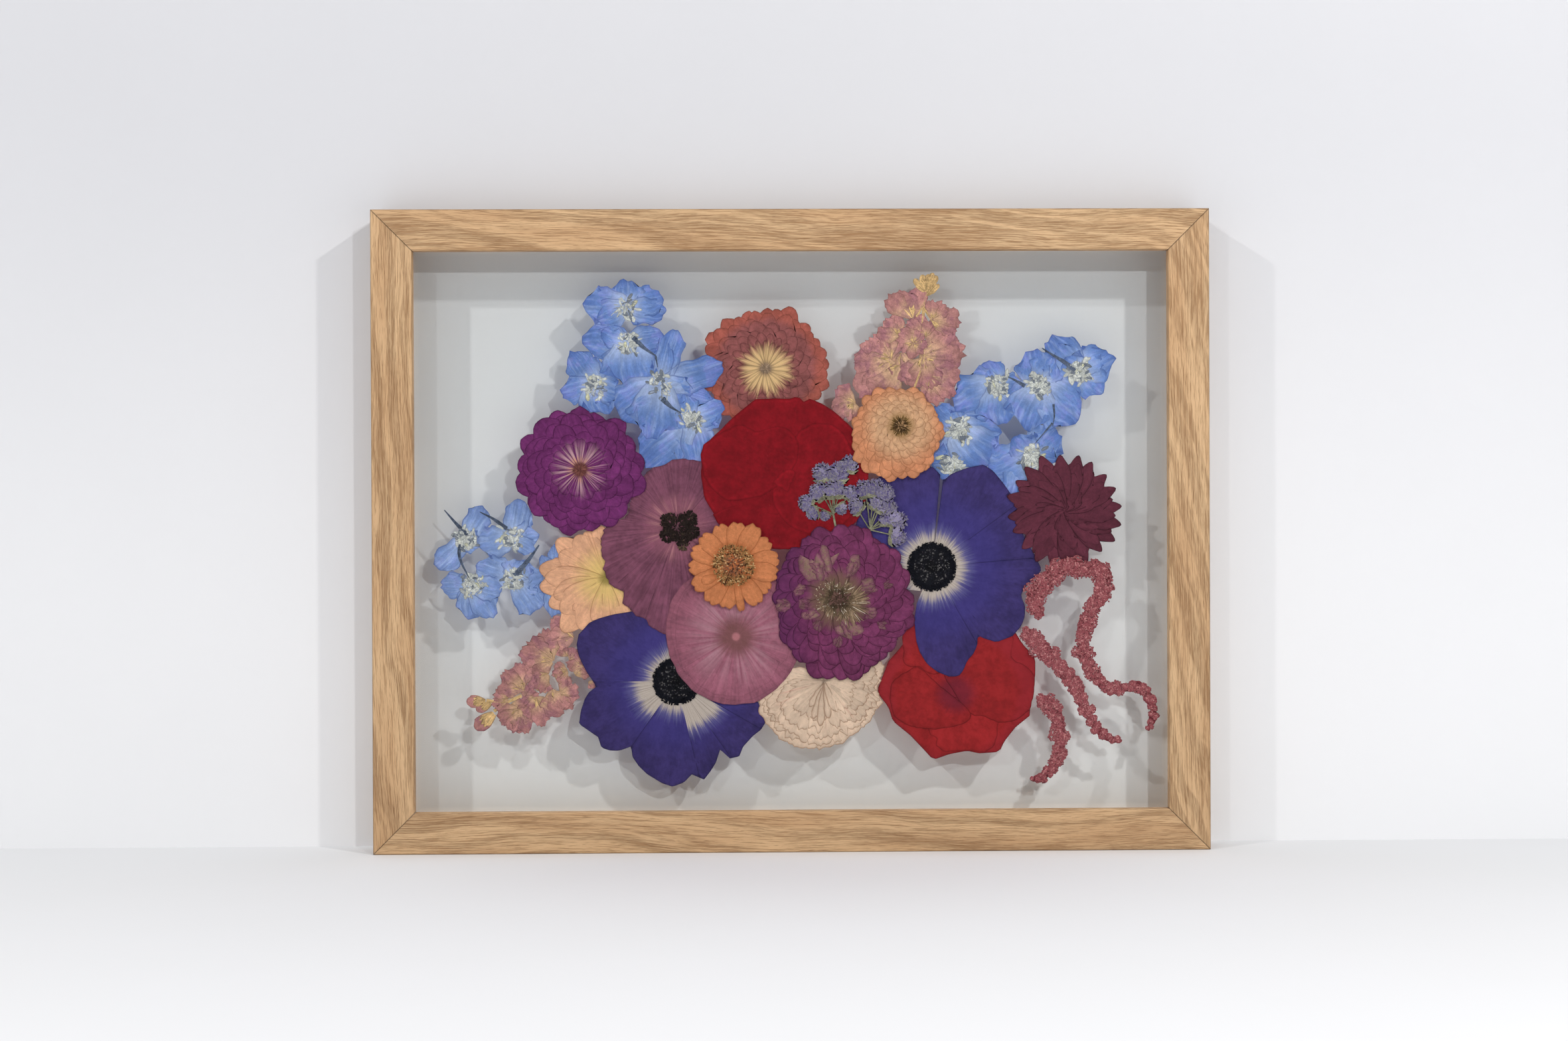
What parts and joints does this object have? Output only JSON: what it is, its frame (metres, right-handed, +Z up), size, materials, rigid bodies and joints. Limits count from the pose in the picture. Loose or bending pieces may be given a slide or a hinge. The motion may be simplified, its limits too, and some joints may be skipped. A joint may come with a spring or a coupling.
{
  "type": "pressed flower frame",
  "caption": "Oak frame with a pane of clear glass on each side of a bouquet of dried, pressed flowers, made to stand upright against a wall.",
  "frame": {"origin": "middle of the footprint, on the surface the frame stands on", "axes": "+Z up; +X to the right seen from the front; the face that is looked at points to -Y"},
  "size_m": [0.4366, 0.028, 0.3351],
  "materials": {
    "oak": "sanded, clear matt oil",
    "pane": "clear float glass",
    "steel": "plain sheet",
    "terracotta_petals": "dry pressed petals, matt",
    "purple_petals": "dry pressed petals, matt",
    "crimson_petals": "dry pressed petals, matt",
    "peach_petals": "dry pressed petals, matt",
    "burgundy_petals": "dry pressed petals, matt",
    "mauve_petals": "dry pressed petals, matt",
    "magenta_petals": "dry pressed petals, matt",
    "orange_petals": "dry pressed petals, matt",
    "dahlia_petals": "dry pressed petals, matt",
    "anemone_petals": "dry pressed petals, matt",
    "cream_petals": "dry pressed petals, matt",
    "red_petals": "dry pressed petals, matt",
    "blue_petals": "dry pressed petals, matt",
    "pink_petals": "dry pressed petals, matt",
    "lilac_tufts": "dry pressed petals, matt",
    "amaranth_seed": "dry pressed petals, matt"
  },
  "bodies": {
    "root": {"rail_top": "oak", "rail_right": "oak", "rail_bottom": "oak", "rail_left": "oak", "glazing_point_top_1": "steel", "glazing_point_top_2": "steel", "glazing_point_top_3": "steel", "glazing_point_right_1": "steel", "glazing_point_right_2": "steel", "glazing_point_bottom_1": "steel", "glazing_point_bottom_2": "steel", "glazing_point_bottom_3": "steel", "glazing_point_left_1": "steel", "glazing_point_left_2": "steel", "glass_front": "pane", "glass_back": "pane", "terracotta_zinnia": "terracotta_petals", "purple_zinnia": "purple_petals", "crimson_rose": "crimson_petals", "peach_zinnia": "peach_petals", "burgundy_chrysanthemum": "burgundy_petals", "mauve_ranunculus": "mauve_petals", "mauve_poppy": "mauve_petals", "magenta_zinnia": "magenta_petals", "orange_zinnia": "orange_petals", "peach_dahlia": "dahlia_petals", "anemone_right": "anemone_petals", "anemone_left": "anemone_petals", "cream_carnation": "cream_petals", "red_rose": "red_petals", "delphinium_top": "blue_petals", "delphinium_right": "blue_petals", "delphinium_left": "blue_petals", "stock_upper": "pink_petals", "stock_lower": "pink_petals", "ageratum_left": "lilac_tufts", "ageratum_right": "lilac_tufts", "amaranth_upper": "amaranth_seed", "amaranth_middle": "amaranth_seed", "amaranth_lower": "amaranth_seed"}
  },
  "joints": []
}
